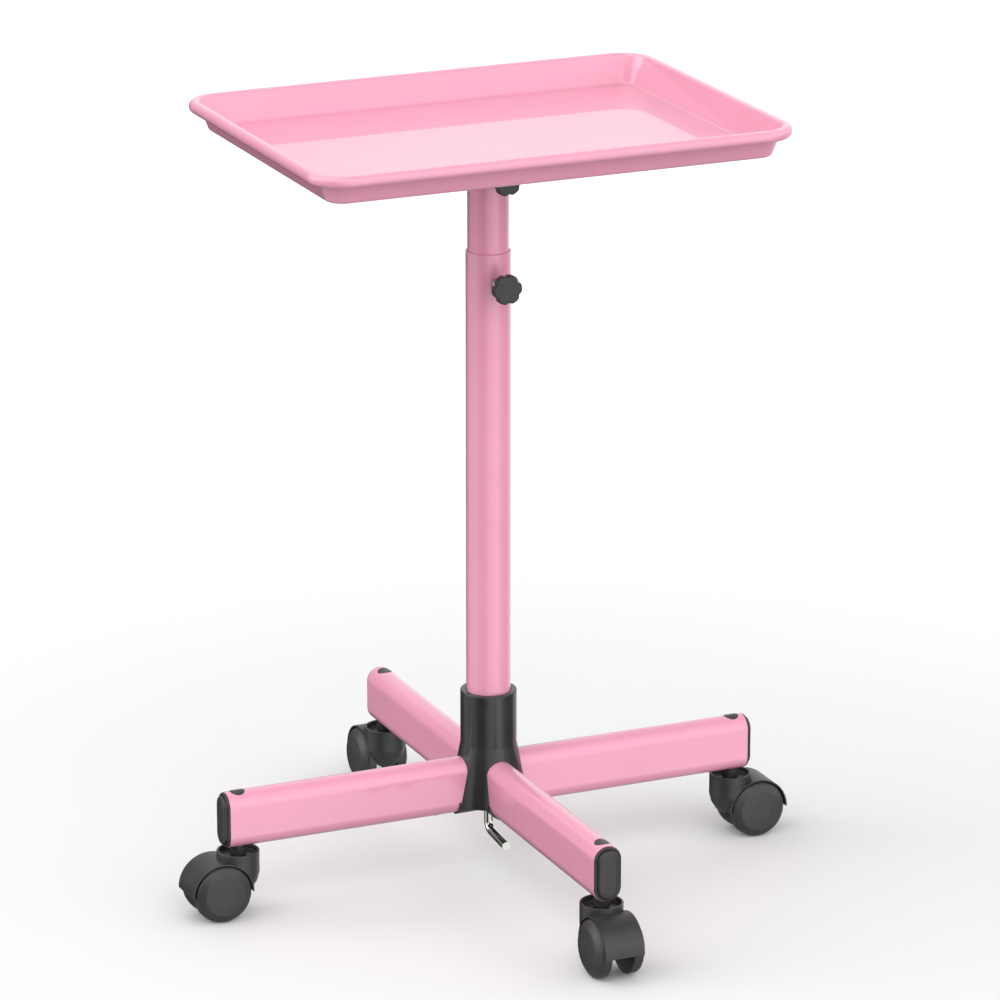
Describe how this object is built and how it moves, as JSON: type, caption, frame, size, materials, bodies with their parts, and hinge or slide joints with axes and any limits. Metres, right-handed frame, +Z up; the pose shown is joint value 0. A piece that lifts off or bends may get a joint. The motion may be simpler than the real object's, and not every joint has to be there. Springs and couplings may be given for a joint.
{
  "type": "instrument cart",
  "caption": "Rolling instrument cart: rectangular pressed tray on a telescoping round column, cross base of flat-oval arms, hooded twin-wheel swivel casters.",
  "frame": {"origin": "on the floor, under the column's axis", "axes": "+Z up the column, +X along the tray's long side, -Y towards the side the clamp knobs face"},
  "size_m": [0.5568, 0.5568, 0.673],
  "materials": {
    "tray_paint": "glossy pink powder coat",
    "tube_paint": "satin-gloss pink powder coat",
    "arm_paint": "satin-gloss pink powder coat",
    "hub_plastic": "glossy black moulded plastic",
    "black_plastic": "satin black moulded plastic",
    "wheel_plastic": "satin black hard plastic",
    "chrome": "bright chrome plate",
    "zinc": "zinc-plated steel"
  },
  "bodies": {
    "base": {"hub": "hub_plastic", "foot_nut": "zinc", "lower_tube": "tube_paint", "lower_weld_nut": "zinc", "arm_right": "arm_paint", "end_cap_right": "black_plastic", "caster_socket_right": "black_plastic", "arm_screw_right": "zinc", "caster_stem_right": "zinc", "arm_back": "arm_paint", "end_cap_back": "black_plastic", "caster_socket_back": "black_plastic", "arm_screw_back": "zinc", "caster_stem_back": "zinc", "arm_left": "arm_paint", "end_cap_left": "black_plastic", "caster_socket_left": "black_plastic", "arm_screw_left": "zinc", "caster_stem_left": "zinc", "arm_front": "arm_paint", "end_cap_front": "black_plastic", "caster_socket_front": "black_plastic", "arm_screw_front": "zinc", "caster_stem_front": "zinc"},
    "column": {"upper_tube": "tube_paint", "upper_weld_nut": "zinc"},
    "tray": {"tray": "tray_paint", "tray_bracket": "tube_paint", "tray_stub": "tube_paint", "tray_stud_1": "zinc", "tray_stud_2": "zinc", "tray_stud_3": "zinc", "tray_stud_4": "zinc", "tray_nut_1": "zinc", "tray_nut_2": "zinc", "tray_nut_3": "zinc", "tray_nut_4": "zinc"},
    "lower_stud": {"lower_clamp_stud": "zinc"},
    "lower_knob": {"lower_knob": "black_plastic"},
    "upper_stud": {"upper_clamp_stud": "zinc"},
    "upper_knob": {"upper_knob": "black_plastic"},
    "tie_washer": {"tie_washer": "zinc"},
    "tie_bolt": {"tie_bolt": "chrome"},
    "caster_right": {"caster_hood_right": "black_plastic", "caster_axle_right": "zinc"},
    "wheel_right_a": {"wheel_right_a": "wheel_plastic"},
    "wheel_right_b": {"wheel_right_b": "wheel_plastic"},
    "caster_back": {"caster_hood_back": "black_plastic", "caster_axle_back": "zinc"},
    "wheel_back_a": {"wheel_back_a": "wheel_plastic"},
    "wheel_back_b": {"wheel_back_b": "wheel_plastic"},
    "caster_left": {"caster_hood_left": "black_plastic", "caster_axle_left": "zinc"},
    "wheel_left_a": {"wheel_left_a": "wheel_plastic"},
    "wheel_left_b": {"wheel_left_b": "wheel_plastic"},
    "caster_front": {"caster_hood_front": "black_plastic", "caster_axle_front": "zinc"},
    "wheel_front_a": {"wheel_front_a": "wheel_plastic"},
    "wheel_front_b": {"wheel_front_b": "wheel_plastic"}
  },
  "joints": [
    {"name": "column_height", "type": "slide", "parent": "base", "child": "column", "axis": [0, 0, 1], "range_m": [-0.045, 0.33]},
    {"name": "tray_swivel", "type": "hinge", "parent": "column", "child": "tray", "pos_m": [0, 0, 0.6233], "axis": [0, 0, 1], "continuous": true},
    {"name": "lower_stud_travel", "type": "slide", "parent": "base", "child": "lower_stud", "axis": [0, -1, 0], "range_m": [0, 0.0021]},
    {"name": "lower_knob_turn", "type": "hinge", "parent": "lower_stud", "child": "lower_knob", "pos_m": [0, -0.0385, 0.5304], "axis": [0, -1, 0], "range_deg": [0, 720]},
    {"name": "upper_stud_travel", "type": "slide", "parent": "column", "child": "upper_stud", "axis": [0, -1, 0], "range_m": [0, 0.0021]},
    {"name": "upper_knob_turn", "type": "hinge", "parent": "upper_stud", "child": "upper_knob", "pos_m": [0, -0.0385, 0.6233], "axis": [0, -1, 0], "range_deg": [0, 720]},
    {"name": "tie_bolt_travel", "type": "slide", "parent": "base", "child": "tie_washer", "axis": [0, 0, -1], "range_m": [0, 0.0039]},
    {"name": "tie_bolt_turn", "type": "hinge", "parent": "tie_washer", "child": "tie_bolt", "pos_m": [0, 0, 0.06], "axis": [0, 0, -1], "range_deg": [0, 1080]},
    {"name": "caster_swivel_right", "type": "hinge", "parent": "base", "child": "caster_right", "pos_m": [0.231, 0, 0.04], "axis": [0, 0, 1], "continuous": true},
    {"name": "wheel_spin_right_a", "type": "hinge", "parent": "caster_right", "child": "wheel_right_a", "pos_m": [0.2505, 0.016, 0.025], "axis": [0, 1, 0], "continuous": true},
    {"name": "wheel_spin_right_b", "type": "hinge", "parent": "caster_right", "child": "wheel_right_b", "pos_m": [0.2505, -0.016, 0.025], "axis": [0, 1, 0], "continuous": true},
    {"name": "caster_swivel_back", "type": "hinge", "parent": "base", "child": "caster_back", "pos_m": [0, 0.231, 0.04], "axis": [0, 0, 1], "continuous": true},
    {"name": "wheel_spin_back_a", "type": "hinge", "parent": "caster_back", "child": "wheel_back_a", "pos_m": [-0.016, 0.2505, 0.025], "axis": [-1, 0, 0], "continuous": true},
    {"name": "wheel_spin_back_b", "type": "hinge", "parent": "caster_back", "child": "wheel_back_b", "pos_m": [0.016, 0.2505, 0.025], "axis": [-1, 0, 0], "continuous": true},
    {"name": "caster_swivel_left", "type": "hinge", "parent": "base", "child": "caster_left", "pos_m": [-0.231, 0, 0.04], "axis": [0, 0, 1], "continuous": true},
    {"name": "wheel_spin_left_a", "type": "hinge", "parent": "caster_left", "child": "wheel_left_a", "pos_m": [-0.2505, -0.016, 0.025], "axis": [0, -1, 0], "continuous": true},
    {"name": "wheel_spin_left_b", "type": "hinge", "parent": "caster_left", "child": "wheel_left_b", "pos_m": [-0.2505, 0.016, 0.025], "axis": [0, -1, 0], "continuous": true},
    {"name": "caster_swivel_front", "type": "hinge", "parent": "base", "child": "caster_front", "pos_m": [0, -0.231, 0.04], "axis": [0, 0, 1], "continuous": true},
    {"name": "wheel_spin_front_a", "type": "hinge", "parent": "caster_front", "child": "wheel_front_a", "pos_m": [0.016, -0.2505, 0.025], "axis": [1, 0, 0], "continuous": true},
    {"name": "wheel_spin_front_b", "type": "hinge", "parent": "caster_front", "child": "wheel_front_b", "pos_m": [-0.016, -0.2505, 0.025], "axis": [1, 0, 0], "continuous": true}
  ],
  "couplings": [
    {"joint": "lower_stud_travel", "follows": "lower_knob_turn", "m_per_rad": 0.00015915},
    {"joint": "upper_stud_travel", "follows": "upper_knob_turn", "m_per_rad": 0.00015915},
    {"joint": "tie_bolt_travel", "follows": "tie_bolt_turn", "m_per_rad": 0.00019894}
  ]
}
